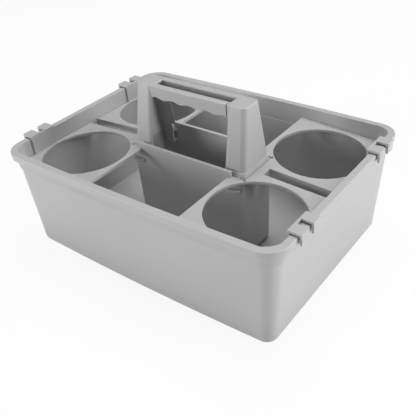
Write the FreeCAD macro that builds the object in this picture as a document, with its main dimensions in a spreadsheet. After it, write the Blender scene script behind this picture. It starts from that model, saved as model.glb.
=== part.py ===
import FreeCAD, Part
import math
import os
import Sketcher

# Carry caddy: open tub, lift-out bottle tray and snap-in handle.
# +X runs along the long side, +Y to the back, +Z up.  The origin is the middle of
# the underside of the tub.  All sizes are millimetres.

sizes = {
    # tub
    "rim_length": 380.0,        # over the lip, long way
    "rim_width": 284.4,         # over the lip, across the middle of the long sides
    "tub_height": 132.0,
    "rim_corner": 25.6,         # plan radius of the lip corners
    "bow_radius": 4900.0,       # slight outward bow of the long sides
    "base_length": 350.0,
    "base_width": 257.4,
    "base_corner": 13.2,
    "lip_height": 8.8,
    "lip_width": 8.4,           # flat top of the rim, outside to inside
    "shoulder_drop": 22.6,      # rim top down to the foot of the shoulder
    "shoulder_inset": 4.0,      # lip face to shoulder face, at the top
    "shoulder_taper": 2.5,
    "wall_inset": 7.6,          # lip face to wall face, just under the shoulder
    "wall": 2.6,
    "floor_thick": 3.0,
    "ledge_drop": 26.0,         # rim top down to the inner ledge
    "base_fillet": 6.0,
    "floor_fillet": 4.0,
    "lip_edge": 1.1,
    # tray
    "deck_drop": 13.6,          # rim top down to the inner edge of the decks
    "deck_slope": 3.0,          # degrees, falling towards the short sides
    "deck_thick": 2.6,
    "skirt_wall": 2.2,
    "collar_depth": 3.4,        # rim round each ring, and the inner edge of a deck
    "rest_gap": 0.15,           # skirts to the ledge they stand on
    "deck_inner": 63.5,         # middle of the tray to the inner edge of an end deck
    "tray_gap": 1.0,            # tray to tub wall, all round
    "ring_radius": 54.3,
    "ring_x": 122.6,
    "ring_y": 68.7,
    "slot_start": 92.5,
    "slot_width": 14.0,
    "bin_length": 164.0,
    "bin_width": 65.0,
    "bin_corner": 11.0,
    "bin_taper": 2.5,           # each wall leans in by this much at the bottom
    "bin_wall": 2.4,
    "bin_floor": 9.0,           # underside of the bin above the table
    "bin_rise": 7.6,            # middle of the bin wall above the deck
    "bin_rise_half": 67.0,      # half length of that raised wall
    "socket_depth": 2.0,
    "fit_gap": 0.8,             # foot of the handle to its socket
    "relief_radius": 2.2,
    "seat_inner": 60.0,         # middle of the tray to the inner end of a seat
    "seat_open": 77.2,          # the opening in a seat ends here, over the end of the bin
    "seat_open_half": 27.2,
    "clip_y": 84.5,
    "clip_width": 35.0,
    "clip_thick": 2.2,
    "finger_width": 13.0,
    "hook_gap": 1.5,            # clip finger to the lip, above and outside
    "hook_thick": 2.6,
    "hook_drop": 12.5,          # top of a finger down to its tip
    "window_height": 4.6,
    "window_gap": 0.8,          # catch to its window, all round
    # handle
    "handle_rise": 62.5,        # top of the handle above the rim
    "post_inner": 52.4,         # middle of the handle to the inside of a post
    "post_foot": 28.0,          # along the handle, at the foot
    "post_top": 24.4,
    "post_foot_width": 53.6,
    "post_top_width": 27.8,
    "post_corner": 6.5,
    "post_wall": 2.6,
    "plinth_height": 6.4,
    "plinth_flare": 1.3,
    "grip_depth": 15.5,
    "grip_slot": 11.8,
    "scallop_radius": 22.0,
    "scallop_depth": 2.0,
    "scallop_pitch": 24.0,
    "slit_width": 1.6,
    "slit_depth": 3.6,
    "cap_thick": 3.0,
    "lug_x": 69.0,              # middle of the handle to the middle of a lug
    "lug_width": 14.0,
    "lug_thick": 2.4,
    "lug_foot": 99.5,           # lowest point of a lug above the table
    "catch_radius": 8.5,
    "catch_y": 30.0,            # centre of the half-round catch
    "catch_foot": 101.2,
    "catch_thick": 3.0,
    "notch_top": 128.0,         # back wall of a post, inside the lug, ends here
    "notch_reach": 60.5,
    "handle_edge": 1.6,
}

doc = FreeCAD.newDocument("caddy")
sheet = doc.addObject("Spreadsheet::Sheet", "sizes")
for row, (name, value) in enumerate(sizes.items(), start=1):
    sheet.set("A%d" % row, name)
    sheet.set("B%d" % row, str(value))
    sheet.setAlias("B%d" % row, name)
doc.recompute()


def bound(text):
    """Put the sheet's name before every size named in an expression."""
    out = ""
    word = ""
    for ch in text + " ":
        if ch.isalnum() or ch in "_.":
            word += ch
            continue
        out += "sizes." + word if word in sizes else word
        out += ch
        word = ""
    return out.strip()


def value(text):
    """Work an expression out for the first guess of a sketch."""
    return float(FreeCAD.Units.Quantity(sheet.evalExpression(bound(text))))


def bind(obj, prop, text):
    obj.setExpression(prop, bound(text))


def dim(sketch, kind, args, text, name):
    """Add a dimension to a sketch and tie it to the sheet."""
    index = sketch.addConstraint(Sketcher.Constraint(kind, *args, value(text)))
    sketch.renameConstraint(index, name)
    bind(sketch, "Constraints." + name, text)


def raise_sketch(sketch, height):
    """Lay a sketch flat at a height."""
    bind(sketch, "Placement.Base.z", height)


def outline(name, half_length, half_width, corner, height, bow=None):
    """Rounded rectangle at a height; its long sides bow outwards when a bow radius is given."""
    a, b, r = value(half_length), value(half_width), value(corner)
    sketch = doc.addObject("Sketcher::SketchObject", name)
    z = FreeCAD.Vector(0, 0, 1)

    def arc(x, y, radius, start, end):
        circle = Part.Circle(FreeCAD.Vector(x, y, 0), z, radius)
        return Part.ArcOfCircle(circle, start, end)

    def line(x0, y0, x1, y1):
        return Part.LineSegment(FreeCAD.Vector(x0, y0, 0), FreeCAD.Vector(x1, y1, 0))

    if bow:
        big = value(bow)
        middle = big - b
        lift = math.sqrt((big - r) ** 2 - (a - r) ** 2)
        corner_y = lift - middle
        lean = math.asin((a - r) / (big - r))
        half = math.pi / 2
        shapes = [
            arc(0, middle, big, -half - lean, -half + lean),
            arc(a - r, -corner_y, r, -half + lean, 0),
            line(a, -corner_y, a, corner_y),
            arc(a - r, corner_y, r, 0, half - lean),
            arc(0, -middle, big, half - lean, half + lean),
            arc(-(a - r), corner_y, r, half + lean, math.pi),
            line(-a, corner_y, -a, -corner_y),
            arc(-(a - r), -corner_y, r, math.pi, 1.5 * math.pi - lean),
        ]
    else:
        half = math.pi / 2
        shapes = [
            line(-(a - r), -b, a - r, -b),
            arc(a - r, -(b - r), r, -half, 0),
            line(a, -(b - r), a, b - r),
            arc(a - r, b - r, r, 0, half),
            line(a - r, b, -(a - r), b),
            arc(-(a - r), b - r, r, half, math.pi),
            line(-a, b - r, -a, -(b - r)),
            arc(-(a - r), -(b - r), r, math.pi, 1.5 * math.pi),
        ]
    sketch.addGeometry(shapes, False)
    for i in range(8):
        sketch.addConstraint(Sketcher.Constraint("Tangent", i, 2, (i + 1) % 8, 1))
    sketch.addConstraint(Sketcher.Constraint("Vertical", 2))
    sketch.addConstraint(Sketcher.Constraint("Vertical", 6))
    dim(sketch, "DistanceX", (-1, 1, 2, 1), half_length, "right")
    dim(sketch, "DistanceX", (6, 1, -1, 1), half_length, "left")
    dim(sketch, "Radius", (1,), corner, "corner")
    for i in (3, 5, 7):
        sketch.addConstraint(Sketcher.Constraint("Equal", 1, i))
    if bow:
        sketch.addConstraint(Sketcher.Constraint("PointOnObject", 0, 3, -2))
        sketch.addConstraint(Sketcher.Constraint("PointOnObject", 4, 3, -2))
        dim(sketch, "Radius", (0,), bow, "bow")
        sketch.addConstraint(Sketcher.Constraint("Equal", 0, 4))
        reach = "%s - (%s)" % (bow, half_width)
        dim(sketch, "DistanceY", (-1, 1, 0, 3), reach, "front")
        dim(sketch, "DistanceY", (4, 3, -1, 1), reach, "back")
    else:
        sketch.addConstraint(Sketcher.Constraint("Horizontal", 0))
        sketch.addConstraint(Sketcher.Constraint("Horizontal", 4))
        dim(sketch, "DistanceY", (0, 1, -1, 1), half_width, "front")
        dim(sketch, "DistanceY", (-1, 1, 4, 1), half_width, "back")
    raise_sketch(sketch, height)
    return sketch


def loft(name, *sketches):
    obj = doc.addObject("Part::Loft", name)
    obj.Sections = list(sketches)
    obj.Solid = True
    obj.Ruled = True
    return obj


def box(name, length, width, height, x, y, z):
    """Block given by its size and the middle of its plan and its underside."""
    obj = doc.addObject("Part::Box", name)
    bind(obj, "Length", length)
    bind(obj, "Width", width)
    bind(obj, "Height", height)
    bind(obj, "Placement.Base.x", "%s - (%s) / 2" % (x, length))
    bind(obj, "Placement.Base.y", "%s - (%s) / 2" % (y, width))
    bind(obj, "Placement.Base.z", z)
    return obj


def cylinder(name, radius, height, x, y, z):
    obj = doc.addObject("Part::Cylinder", name)
    bind(obj, "Radius", radius)
    bind(obj, "Height", height)
    bind(obj, "Placement.Base.x", x)
    bind(obj, "Placement.Base.y", y)
    bind(obj, "Placement.Base.z", z)
    return obj


def fuse(name, *shapes):
    obj = doc.addObject("Part::MultiFuse", name)
    obj.Shapes = list(shapes)
    return obj


def cut(name, base, *tools):
    obj = doc.addObject("Part::Cut", name)
    obj.Base = base
    obj.Tool = tools[0] if len(tools) == 1 else fuse(name + "_tools", *tools)
    return obj


def common(name, *shapes):
    obj = doc.addObject("Part::MultiCommon", name)
    obj.Shapes = list(shapes)
    return obj


def mirror(name, source, normal):
    obj = doc.addObject("Part::Mirroring", name)
    obj.Source = source
    obj.Normal = normal
    return obj


def tilt(obj, angle):
    """Turn a finished object about the Y axis."""
    obj.Placement.Rotation = FreeCAD.Rotation(FreeCAD.Vector(0, 1, 0), 1)
    bind(obj, "Placement.Rotation.Angle", angle)


def rounded(name, base, pick, radius):
    """Round the edges of an object that pick() accepts."""
    doc.recompute()
    obj = doc.addObject("Part::Fillet", name)
    obj.Base = base
    edges = enumerate(base.Shape.Edges, start=1)
    obj.Edges = [(i, radius, radius) for i, edge in edges if pick(edge)]
    return obj


def level(height):
    """Accept edges that lie flat at a height."""
    def pick(edge):
        bounds = edge.BoundBox
        return abs(bounds.ZMin - height) < 0.01 and abs(bounds.ZMax - height) < 0.01
    return pick


# --- tub -----------------------------------------------------------------------
lip_x, lip_y = "rim_length / 2", "rim_width / 2"
foot_of_shoulder = "tub_height - shoulder_drop"
lip_under = "tub_height - lip_height"


def inset(amount):
    return (lip_x + " - (%s)" % amount, lip_y + " - (%s)" % amount,
            "rim_corner - (%s)" % amount)


def ring(name, amount, height):
    return outline(name, *inset(amount), height, "bow_radius")


base_x, base_y = "base_length / 2", "base_width / 2"
wall_body = loft("wall_body",
                 outline("base_line", base_x, base_y, "base_corner", "0", "bow_radius"),
                 ring("wall_line", "wall_inset", foot_of_shoulder))
shoulder = loft("shoulder",
                ring("shoulder_foot", "shoulder_inset + shoulder_taper", foot_of_shoulder),
                ring("shoulder_head", "shoulder_inset", lip_under))
lip = loft("lip", ring("lip_foot", "0.4", lip_under), ring("lip_head", "0", "tub_height"))
tub_block = fuse("tub_block",
                 rounded("tub_base", wall_body, level(0.0), sizes["base_fillet"]),
                 shoulder,
                 rounded("lip_rounded", lip,
                         lambda e: level(sizes["tub_height"])(e)
                         or level(sizes["tub_height"] - sizes["lip_height"])(e),
                         sizes["lip_edge"]))

ledge = "tub_height - ledge_drop"
# the wall face leans from the base line to the wall line; the cavity follows it
lean_x = "(rim_length / 2 - wall_inset - base_length / 2) / (tub_height - shoulder_drop)"
lean_y = "(rim_width / 2 - wall_inset - base_width / 2) / (tub_height - shoulder_drop)"
lean_r = "(rim_corner - wall_inset - base_corner) / (tub_height - shoulder_drop)"


def hollow(name, height):
    return outline(name,
                   "%s + %s * (%s) - wall" % (base_x, lean_x, height),
                   "%s + %s * (%s) - wall" % (base_y, lean_y, height),
                   "base_corner + %s * (%s) - wall" % (lean_r, height),
                   height, "bow_radius")


lower_cavity = rounded("lower_cavity",
                       loft("cavity", hollow("cavity_floor", "floor_thick"),
                            hollow("cavity_ledge", ledge)),
                       level(sizes["floor_thick"]), sizes["floor_fillet"])
upper_cavity = loft("upper_cavity", ring("ledge_line", "lip_width + 0.5", ledge),
                    ring("mouth_line", "lip_width", "tub_height"))
tub = cut("tub", tub_block, lower_cavity, upper_cavity)

# --- tray ----------------------------------------------------------------------
tray_x = "(rim_length / 2 - lip_width - tray_gap)"
tray_y = "(rim_width / 2 - lip_width - tray_gap)"
deck = "(tub_height - deck_drop)"
slope = "(deck_slope * 1 deg)"
end_drop = "(%s - deck_inner) * tan(%s)" % (tray_x, slope)
# the skirts under a deck are just deep enough to stand on the ledge at the outer end
depth = "(((ledge_drop - deck_drop) - %s - rest_gap) / cos(%s))" % (end_drop, slope)
run = "(%s - deck_inner + 2)" % tray_x


def onRamp(x):
    """Distance along the sloping deck of a point given by its distance from the middle."""
    return "(%s - deck_inner) / cos(%s)" % (x, slope)


# one end deck, drawn level with its inner top edge at the origin, then tilted
ends = (("front", "-1"), ("back", "1"))
slab = box("slab", run, tray_y + " * 2", "deck_thick", run + " / 2", "0", "-deck_thick")
collars = [cylinder("collar_" + side, "ring_radius + skirt_wall", "collar_depth",
                    onRamp("ring_x"), sign + " * ring_y", "-collar_depth") for side, sign in ends]
bores = [cylinder("bore_" + side, "ring_radius", "80", onRamp("ring_x"), sign + " * ring_y", "-40")
         for side, sign in ends]
slot_skirt = box("slot_skirt", run, "slot_width + 2 * skirt_wall", depth,
                 "slot_start - skirt_wall - deck_inner + %s / 2" % run, "0", "-" + depth)
end_skirt = box("end_skirt", "skirt_wall + 2", tray_y + " * 2", depth,
                onRamp(tray_x) + " - skirt_wall + skirt_wall / 2 + 1", "0", "-" + depth)
inner_skirt = box("inner_skirt", "skirt_wall", tray_y + " * 2", "collar_depth",
                  "skirt_wall / 2", "0", "-collar_depth")
side_skirts = [box("side_skirt_" + side, run, "skirt_wall + 3", depth, run + " / 2",
                   sign + " * (%s - skirt_wall / 2 - 1.5)" % tray_y, "-" + depth)
               for side, sign in ends]
slot = box("slot", run, "slot_width", "80", "slot_start - deck_inner + %s / 2" % run, "0", "-40")
ramp = cut("ramp",
           fuse("ramp_solid", slab, *collars, slot_skirt, end_skirt, inner_skirt, *side_skirts),
           *bores, slot)
tilt(ramp, "deck_slope")
bind(ramp, "Placement.Base.x", "deck_inner")
bind(ramp, "Placement.Base.z", deck)
both_ramps = fuse("both_ramps", ramp, mirror("ramp_left", ramp, FreeCAD.Vector(1, 0, 0)))


def trayLine(name, height):
    return ring(name, "lip_width + tray_gap", height)


decks = common("decks", both_ramps,
               loft("tray_prism", trayLine("tray_low", "0"), trayLine("tray_high", "tub_height")))

# the deep bin between the decks, with front and back walls that stand above the decks
bin_x, bin_y = "bin_length / 2", "bin_width / 2"
bin_top = "(%s + bin_rise)" % deck


def binLine(name, lean, wall, height):
    less = "(%s + %s)" % (lean, wall)
    return outline(name, "%s - %s" % (bin_x, less), "%s - %s" % (bin_y, less),
                   "bin_corner - %s" % less, height)


bin_block = loft("bin_block", binLine("bin_foot", "bin_taper", "0", "bin_floor"),
                 binLine("bin_head", "0", "0", bin_top))
bin_ends = [box("bin_end_" + side, "100", "bin_width + 10", "100",
                sign + " * (bin_rise_half + 50)", "0", deck) for side, sign in
            (("left", "-1"), ("right", "1"))]
bin_shell = cut("bin_shell", bin_block, *bin_ends)
bin_cavity = loft("bin_cavity",
                  binLine("bin_inside_foot", "bin_taper", "bin_wall", "bin_floor + bin_wall"),
                  binLine("bin_inside_head", "0", "bin_wall", bin_top + " + 5"))
# a small bead along the outside of the raised walls
beads = [box("bead_" + side, "bin_rise_half * 2", "2.4", "3",
             "0", sign + " * (%s + 0.1)" % bin_y, bin_top + " - 3") for side, sign in ends]

# rim clips: a plate up from the end of each deck with two fingers hooked over the lip
clip_top = "(tub_height + hook_gap + hook_thick)"
hook_x = "(rim_length / 2 + hook_gap + hook_thick)"
pitch = "(clip_width - finger_width) / 2"
plates, fingers = [], []
for end, out in (("right", "1"), ("left", "-1")):
    for side, sign in ends:
        tag = end + "_" + side
        middle = "%s * clip_y" % sign
        plates.append(box("plate_" + tag, "clip_thick", "clip_width",
                          "%s - (tub_height - ledge_drop) - 1" % clip_top,
                          "%s * (%s - clip_thick / 2)" % (out, tray_x), middle,
                          "tub_height - ledge_drop + 1"))
        for step, way in (("a", "-1"), ("b", "1")):
            along = "%s + %s * %s" % (middle, way, pitch)
            arm = "(%s - %s + clip_thick)" % (hook_x, tray_x)
            fingers.append(box("arm_%s_%s" % (tag, step), arm, "finger_width", "hook_thick",
                               "%s * (%s - %s / 2)" % (out, hook_x, arm), along,
                               clip_top + " - hook_thick"))
            fingers.append(box("tip_%s_%s" % (tag, step), "hook_thick", "finger_width",
                               "hook_drop", "%s * (%s - hook_thick / 2)" % (out, hook_x), along,
                               clip_top + " - hook_drop"))

# seats over the ends of the bin carry the handle; each is open in the middle, and the
# long walls of the bin have a window for each catch
foot_mid = "(post_inner + post_foot / 2)"
floor_of_socket = "(%s - socket_depth)" % deck
seat_length = "(post_inner + post_foot + 4 - seat_inner)"
seats, seat_openings, sockets, reliefs, windows = [], [], [], [], []
for end, out in (("right", "1"), ("left", "-1")):
    seats.append(box("seat_" + end, seat_length, "bin_width - 1", "4",
                     "%s * (seat_inner + %s / 2)" % (out, seat_length), "0", deck + " - 4"))
    seat_openings.append(box("seat_opening_" + end, "40", "2 * seat_open_half", "20",
                             "%s * (seat_open - 20)" % out, "0", deck + " - 10"))
    sockets.append(box("socket_" + end, "post_foot + 2 * (plinth_flare + fit_gap)",
                       "post_foot_width + 2 * (plinth_flare + fit_gap)", "20",
                       "%s * %s" % (out, foot_mid), "0", floor_of_socket))
    for side, sign in ends:
        tag = end + "_" + side
        reliefs.append(cylinder("relief_" + tag, "relief_radius", "30",
                                "%s * (post_inner + post_foot + plinth_flare)" % out,
                                sign + " * (post_foot_width / 2 + plinth_flare)",
                                floor_of_socket + " - 10"))
        windows.append(box("window_" + tag, "2 * (catch_radius + window_gap)", "14",
                           "window_height", "%s * lug_x" % out,
                           sign + " * (bin_width / 2 - 2)", "catch_foot - window_gap"))
# the tray is one moulding, kept as three solids that meet face to face: the bin and
# the two end decks
bin_open = cut("bin_open", fuse("bin_walls", bin_shell, *beads), bin_cavity)
bin_seats = common("bin_seats", fuse("seat_pair", *seats), bin_block)
tray_bin = cut("tray_bin", fuse("bin_and_seats", bin_open, bin_seats),
               *seat_openings, *sockets, *reliefs, *windows)
tray_decks = []
for end, out in (("right", "1"), ("left", "-1")):
    own = [shape for shape in plates + fingers if "_" + end + "_" in shape.Name]
    half = box("half_" + end, "300", "400", "300", out + " * 150", "0", "0")
    whole = fuse("deck_and_clips_" + end, common("deck_half_" + end, decks, half), *own)
    tray_decks.append(cut("tray_deck_" + end, whole, bin_block, *sockets, *reliefs))

# --- handle --------------------------------------------------------------------
top = "(tub_height + handle_rise)"


def postLine(name, length, width, height, corner, grow="0"):
    """Half-round ended plan of a post: rounded on the outside, cut square on the inside."""
    sketch = outline(name, "(%s) / 2 + %s" % (length, grow), "(%s) / 2 + %s" % (width, grow),
                     corner, height)
    bind(sketch, "Placement.Base.x", "post_inner + (%s) / 2" % length)
    return sketch


post = loft("post",
            postLine("post_low", "post_foot", "post_foot_width", floor_of_socket, "post_corner"),
            postLine("post_high", "post_top", "post_top_width", top, "post_corner"))
top_level = sizes["tub_height"] + sizes["handle_rise"]
post_round = rounded("post_round", post, level(top_level), sizes["handle_edge"])
plinth = loft("plinth",
              postLine("plinth_low", "post_foot", "post_foot_width", floor_of_socket,
                       "post_corner", "plinth_flare"),
              postLine("plinth_high", "post_foot", "post_foot_width",
                       floor_of_socket + " + plinth_height", "post_corner", "0.1"))


def channelLine(name, length, width, height):
    """Inside of a post: runs out through the side that faces the other post."""
    sketch = outline(name, "(%s - post_wall + 5) / 2" % length, "(%s) / 2 - post_wall" % width,
                     "post_corner - post_wall", height)
    bind(sketch, "Placement.Base.x", "post_inner - 5 + (%s - post_wall + 5) / 2" % length)
    return sketch


channel = loft("channel",
               channelLine("channel_low", "post_foot", "post_foot_width",
                           floor_of_socket + " - 1"),
               channelLine("channel_high", "post_top", "post_top_width", top + " - cap_thick"))
right_post = cut("right_post", fuse("post_and_plinth", post_round, plinth), channel)
left_post = mirror("left_post", right_post, FreeCAD.Vector(1, 0, 0))

bar_width = "(post_top_width - grip_slot) / 2"
bars = [rounded("bar_round_" + side,
                box("bar_" + side, "2 * post_inner + 8", bar_width, "grip_depth", "0",
                    sign + " * (grip_slot + %s) / 2" % bar_width, top + " - grip_depth"),
                level(top_level), sizes["handle_edge"])
        for side, sign in ends]
scallops = []
for i in range(5):
    scallop = cylinder("scallop_%d" % i, "scallop_radius", "post_top_width + 10",
                       "%s * scallop_pitch" % (i - 2), "post_top_width / 2 + 5",
                       top + " - grip_depth + scallop_depth - scallop_radius")
    scallop.Placement.Rotation = FreeCAD.Rotation(FreeCAD.Vector(1, 0, 0), 90)
    scallops.append(scallop)
grip = cut("grip", fuse("grip_bars", *bars), *scallops)
# a narrow slit parts the front bar from the right post
slit = box("slit", "slit_width", "slit_depth * 2", "grip_depth + 10",
           "post_inner + slit_width / 2 - 1", "-post_top_width / 2", top + " - grip_depth - 5")
# behind, each post wall stops short of the bin wall beside its lug
notches = [box("notch_" + end, "2 * (notch_reach - post_inner)", "40",
               "notch_top - %s + 5" % floor_of_socket, "%s * post_inner" % out, "20 + 3",
               floor_of_socket + " - 5") for end, out in (("right", "1"), ("left", "-1"))]
posts = cut("posts", fuse("posts_and_grip", right_post, left_post, grip), slit, *notches)

# two lugs under each post reach into the bin, each with a half-round catch
lugs = []
for end, out in (("right", "1"), ("left", "-1")):
    for side, sign in ends:
        tag = end + "_" + side
        lug_y = sign + " * (post_foot_width / 2 - lug_thick / 2)"
        lugs.append(box("lug_" + tag, "lug_width", "lug_thick",
                        floor_of_socket + " + 4 - lug_foot", out + " * lug_x", lug_y,
                        "lug_foot"))
        disc = cylinder("disc_" + tag, "catch_radius", "catch_thick", out + " * lug_x",
                        sign + " * catch_y", "catch_foot")
        outside = box("outside_" + tag, "40", "30", "20", out + " * lug_x",
                      sign + " * (post_foot_width / 2 - lug_thick + 15)", "catch_foot - 5")
        lugs.append(common("catch_" + tag, disc, outside))
handle = fuse("handle", posts, *lugs)


# --- check and write out ---------------------------------------------------------
doc.recompute()
for obj in doc.Objects:
    if "Invalid" in obj.State or "Error" in obj.State:
        raise RuntimeError("%s did not recompute: %s" % (obj.Label, obj.State))

os.makedirs("parts", exist_ok=True)
for piece in (tub, tray_bin, *tray_decks, handle):
    shape = piece.Shape
    if shape.isNull() or not shape.isValid() or len(shape.Solids) != 1:
        raise RuntimeError("%s is not one sound solid (%d)" % (piece.Label, len(shape.Solids)))
    shape.exportStep("parts/%s.step" % piece.Label)
    print(piece.Label, "%.0f mm3" % shape.Volume, shape.BoundBox)
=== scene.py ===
import math
import bmesh
import bpy
from mathutils import Matrix, Vector


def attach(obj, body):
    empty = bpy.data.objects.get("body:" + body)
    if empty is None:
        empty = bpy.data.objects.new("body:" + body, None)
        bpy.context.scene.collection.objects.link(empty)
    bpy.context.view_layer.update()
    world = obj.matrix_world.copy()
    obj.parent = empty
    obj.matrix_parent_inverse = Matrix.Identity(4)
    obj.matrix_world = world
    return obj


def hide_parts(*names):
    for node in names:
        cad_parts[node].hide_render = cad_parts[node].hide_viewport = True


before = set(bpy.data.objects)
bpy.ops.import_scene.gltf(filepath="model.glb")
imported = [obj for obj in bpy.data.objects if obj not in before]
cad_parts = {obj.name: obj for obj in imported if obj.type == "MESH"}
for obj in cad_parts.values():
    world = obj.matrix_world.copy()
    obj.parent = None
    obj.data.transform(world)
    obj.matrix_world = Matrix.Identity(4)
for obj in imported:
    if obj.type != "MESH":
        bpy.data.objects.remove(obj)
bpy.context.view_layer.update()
scene = bpy.context.scene
mm = 0.001


class Wire:
    # one socket of a material; sums written on it become Math nodes
    def __init__(self, tree, socket=None):
        self.tree = tree
        self.socket = socket

    def node(self, kind, settings=None, sockets=None, out=0):
        made = self.tree.nodes.new("ShaderNode" + kind)
        for name, setting in (settings or {}).items():
            if name == "stops":
                for stop, (place, shade) in zip(made.color_ramp.elements, setting):
                    stop.position = place
                    stop.color = (shade, shade, shade, 1)
            else:
                setattr(made, name, setting)
        for name, value in (sockets or {}).items():
            if isinstance(value, Wire):
                self.tree.links.new(value.socket, made.inputs[name])
            else:
                made.inputs[name].default_value = value
        return Wire(self.tree, made.outputs[out] if made.outputs else None)

    def math(self, operation, *values):
        return self.node("Math", {"operation": operation}, dict(enumerate(values)))

    def __add__(self, other):
        return self.math("ADD", self, other)

    def __sub__(self, other):
        return self.math("SUBTRACT", self, other)

    def __rsub__(self, other):
        return self.math("SUBTRACT", other, self)

    def __mul__(self, other):
        return self.math("MULTIPLY", self, other)

    __radd__ = __add__
    __rmul__ = __mul__


# moulded polypropylene, light grey with a satin grain
plastic = {
    "colour": (0.455, 0.457, 0.460),
    "paleShare": 0.035,        # how much lighter the flow marks are
    "flowSize": 14.0,          # flow marks per metre
    "roughness": 0.43,
    "roughSpread": 0.10,
    "grainPerMetre": 2600.0,
    "grainDepth": 0.00004,
    "orangePeel": 160.0,       # slow waves per metre left by the mould
    "peelDepth": 0.00006,
    "mottleRatio": 9,          # how much finer the mottle is than the flow marks
    "grainRough": 0.05,
    "scuffs": 0.09,
    "scuffScale": 4.0,
    "scuffStretch": (9, 160, 120),
    "scuffRange": (0.60, 0.72),
    "edgeRadius": 0.0012,
    # painted highlight: how much lighter the corners are painted, as a share of the colour
    "paintedEdgeHighlight": 0.30,
    "edgeReach": 4.0,          # how soon a turned normal counts as an edge
    "edgePolish": 0.06,        # how much smoother the rubbed corners are
    "ior": 1.49,
    "specular": 0.5,
}


def mouldedPlastic(name, look, turn):
    material = bpy.data.materials.new(name)
    material.use_nodes = True
    tree = material.node_tree
    tree.nodes.clear()
    wire = Wire(tree)
    place = wire.node("TexCoord", out="Object")
    flow = wire.node("TexNoise", None, {"Vector": wire.node(
        "Mapping", None, {"Vector": place, "Rotation": (0.3, 0.1, turn), "Scale": (1, 1, 2.4)}),
        "Scale": look["flowSize"], "Detail": 3.0, "Roughness": 0.55})
    mottle = wire.node("TexNoise", None, {"Vector": place, "Scale": look["flowSize"] * look["mottleRatio"],
                                          "Detail": 4.0, "Roughness": 0.6})
    grain = wire.node("TexNoise", None, {"Vector": place, "Scale": look["grainPerMetre"],
                                         "Detail": 2.0, "Roughness": 0.6})
    peel = wire.node("TexNoise", None, {"Vector": place, "Scale": look["orangePeel"],
                                        "Detail": 1.0})
    # corner mask: where the rounded normal leaves the true one; used for a painted highlight on the
    # corners and for smoother rubbed corners
    soft = wire.node("Bevel", {"samples": 4}, {"Radius": look["edgeRadius"]})
    true = wire.node("NewGeometry", out="Normal")
    edge = 1 - wire.node("VectorMath", {"operation": "DOT_PRODUCT"}, {0: soft, 1: true}, "Value")
    edge = wire.math("MINIMUM", edge * look["edgeReach"], 1.0)
    # fine rubbing marks, long one way
    scuff = wire.node("TexNoise", None, {"Vector": wire.node(
        "Mapping", None, {"Vector": place, "Rotation": (0.2, 0.5, 0.9 + turn),
                          "Scale": look["scuffStretch"]}),
        "Scale": look["scuffScale"], "Detail": 3.0})
    low, high = look["scuffRange"]
    scuff = wire.node("ValToRGB", {"stops": ((low, 0.0), (high, 1.0))}, {"Fac": scuff})
    pale = (flow - 0.5) * (2 * look["paleShare"]) + (mottle - 0.5) * look["paleShare"]
    # painted highlight: the corner mask paints every corner lighter, on top of the real flow marks
    pale = pale + edge * look["paintedEdgeHighlight"] + 1.0
    colour = wire.node("VectorMath", {"operation": "SCALE"}, {0: look["colour"], "Scale": pale})
    rough = look["roughness"] + (mottle - 0.5) * look["roughSpread"]
    rough = rough + scuff * look["scuffs"] - edge * look["edgePolish"]
    rough = rough + (grain - 0.5) * look["grainRough"]
    height = (grain - 0.5) * look["grainDepth"] + (peel - 0.5) * look["peelDepth"]
    bump = wire.node("Bump", None, {"Strength": 1.0, "Distance": 1.0, "Height": height})
    shader = wire.node("BsdfPrincipled", None, {
        "Base Color": colour, "Roughness": rough, "Normal": bump,
        "IOR": look["ior"], "Specular IOR Level": look["specular"]})
    wire.node("OutputMaterial", None, {"Surface": shader})
    return material


softening = {
    "weld": 0.01 * mm,
    "seam": 0.005 * mm,
    "flatAngle": 0.6,          # degrees; facets nearer to flat than this become one face
    "hardAngle": 35,           # degrees; corners sharper than this are rounded
    "segments": 2,
}


def softenEdges(obj, look):
    # moulded corners are never sharp: a small round on every hard edge
    obj.data.materials.clear()
    obj.data.materials.append(look["material"])
    weld = obj.modifiers.new("weld", "WELD")
    weld.merge_threshold = softening["weld"]
    flat = obj.modifiers.new("flat", "DECIMATE")
    flat.decimate_type = "DISSOLVE"
    flat.angle_limit = math.radians(softening["flatAngle"])
    bevel = obj.modifiers.new("bevel", "BEVEL")
    bevel.width = look["edge"]
    bevel.segments = softening["segments"]
    bevel.limit_method = "ANGLE"
    bevel.angle_limit = math.radians(softening["hardAngle"])
    bevel.harden_normals = True


def closedCopy(node):
    # a copy of a CAD mesh with its seams closed, ready to be joined to another
    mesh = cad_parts[node].data.copy()
    shape = bmesh.new()
    shape.from_mesh(mesh)
    bmesh.ops.remove_doubles(shape, verts=shape.verts, dist=softening["seam"])
    shape.to_mesh(mesh)
    shape.free()
    copy = bpy.data.objects.new(node + "_closed", mesh)
    scene.collection.objects.link(copy)
    return copy


def joinMoulding(name, body, nodes):
    # the bin and the end decks come out of one mould, so they show as one piece
    first, *others = [closedCopy(node) for node in nodes]
    for other in others:
        union = first.modifiers.new("union", "BOOLEAN")
        union.operation = "UNION"
        union.solver = "EXACT"
        union.object = other
    first = first.evaluated_get(bpy.context.evaluated_depsgraph_get())
    joined = bpy.data.objects.new(name, bpy.data.meshes.new_from_object(first))
    scene.collection.objects.link(joined)
    for node in nodes:
        bpy.data.objects.remove(bpy.data.objects[node + "_closed"])
    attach(joined, body)
    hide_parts(*nodes)
    return joined


print("joining the tray")
trayNodes = ["tray_bin", "tray_deck_right", "tray_deck_left"]
tray = joinMoulding("bottle_tray", "tray", trayNodes)

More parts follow.
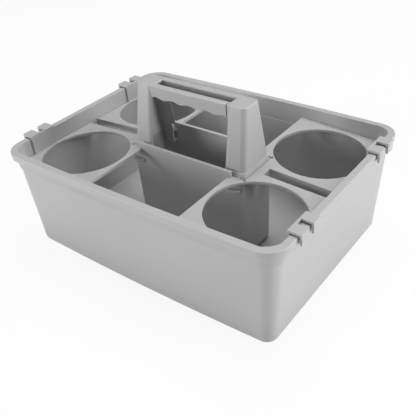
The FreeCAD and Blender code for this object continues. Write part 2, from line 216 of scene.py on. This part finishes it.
print("dressing the three mouldings")
mouldings = {
    "tub": {"piece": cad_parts["tub"], "edge": 0.5 * mm, "turn": 0.0, "shade": 1.0},
    "tray": {"piece": tray, "edge": 0.35 * mm, "turn": 0.8, "shade": 0.985},
    "handle": {"piece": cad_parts["handle"], "edge": 0.45 * mm, "turn": 1.7, "shade": 0.97},
}
for name, look in mouldings.items():
    values = dict(plastic, colour=tuple(c * look["shade"] for c in plastic["colour"]))
    look["material"] = mouldedPlastic(name + " plastic", values, look["turn"])
    softenEdges(look["piece"], look)

print("floor, light and camera")
studio = {
    "floorSize": 12.0,
    "floorGrid": 4,
    "floorColour": 0.86,
    "floorGlow": 0.90,
    "skyStrength": 0.22,
    "aim": (0.0, 0.0, 0.08),
    # name, watts, place, width
    "lamps": (
        ("front softbox", 26.0, (-1.25, -1.6, 0.45), 1.1),
        ("high softbox", 10.0, (1.4, 0.2, 1.4), 1.0),
        ("side softbox", 22.0, (1.85, 0.75, 0.35), 1.0),
        ("top softbox", 23.0, (-0.1, 0.45, 2.0), 1.4),
    ),
}


def makeFloor():
    floorMesh = bpy.data.meshes.new("floor")
    shape = bmesh.new()
    grid = studio["floorGrid"]
    bmesh.ops.create_grid(shape, x_segments=grid, y_segments=grid, size=studio["floorSize"] / 2)
    shape.to_mesh(floorMesh)
    shape.free()
    floor = bpy.data.objects.new("floor", floorMesh)
    scene.collection.objects.link(floor)
    material = bpy.data.materials.new("floor paper")
    material.use_nodes = True
    tree = material.node_tree
    tree.nodes.clear()
    wire = Wire(tree)
    paper = wire.node("BsdfDiffuse", None, {"Color": (*[studio["floorColour"]] * 3, 1)})
    glow = wire.node("Emission", None, {"Color": (1, 1, 1, 1), "Strength": 1.0})
    seen = wire.node("LightPath", out="Is Camera Ray")
    mixed = wire.node("MixShader", None, {0: seen * studio["floorGlow"], 1: paper, 2: glow})
    wire.node("OutputMaterial", None, {"Surface": mixed})
    floorMesh.materials.append(material)


def makeSky():
    world = bpy.data.worlds.new("studio")
    world.use_nodes = True
    tree = world.node_tree
    tree.nodes.clear()
    wire = Wire(tree)
    seen = wire.node("LightPath", out="Is Camera Ray")
    strength = seen * (1.0 - studio["skyStrength"]) + studio["skyStrength"]
    sky = wire.node("Background", None, {"Color": (1, 1, 1, 1), "Strength": strength})
    wire.node("OutputWorld", None, {"Surface": sky})
    scene.world = world


def makeLamp(name, power, place, size):
    light = bpy.data.lights.new(name, "AREA")
    light.shape = "DISK"
    light.energy = power
    light.size = size
    lamp = bpy.data.objects.new(name, light)
    lamp.location = place
    towards = Vector(studio["aim"]) - Vector(place)
    lamp.rotation_mode = "QUATERNION"
    lamp.rotation_quaternion = towards.to_track_quat("-Z", "Y")
    scene.collection.objects.link(lamp)


makeFloor()
makeSky()
for lamp in studio["lamps"]:
    makeLamp(*lamp)

cameraLook = {
    "place": (0.3966, -0.4789, 0.4678),
    "azimuth": 39.28,
    "elevation": 34.93,
    "roll": -4.73,
    "lens": 51.85,
    "sensor": 36.0,
    "nearest": 0.01,
}


def makeCamera(look):
    azimuth = math.radians(look["azimuth"])
    elevation = math.radians(look["elevation"])
    roll = math.radians(look["roll"])
    back = Vector((math.sin(azimuth) * math.cos(elevation),
                   -math.cos(azimuth) * math.cos(elevation), math.sin(elevation)))
    right = Vector((math.cos(azimuth), math.sin(azimuth), 0))
    up = back.cross(right)
    sideways = math.cos(roll) * right + math.sin(roll) * up
    upwards = math.cos(roll) * up - math.sin(roll) * right
    lens = bpy.data.cameras.new("camera")
    lens.lens = look["lens"]
    lens.sensor_width = look["sensor"]
    lens.clip_start = look["nearest"]
    camera = bpy.data.objects.new("camera", lens)
    camera.matrix_world = Matrix((
        (sideways.x, upwards.x, back.x, look["place"][0]),
        (sideways.y, upwards.y, back.y, look["place"][1]),
        (sideways.z, upwards.z, back.z, look["place"][2]),
        (0, 0, 0, 1)))
    scene.collection.objects.link(camera)
    scene.camera = camera


makeCamera(cameraLook)
scene.view_settings.view_transform = "Standard"
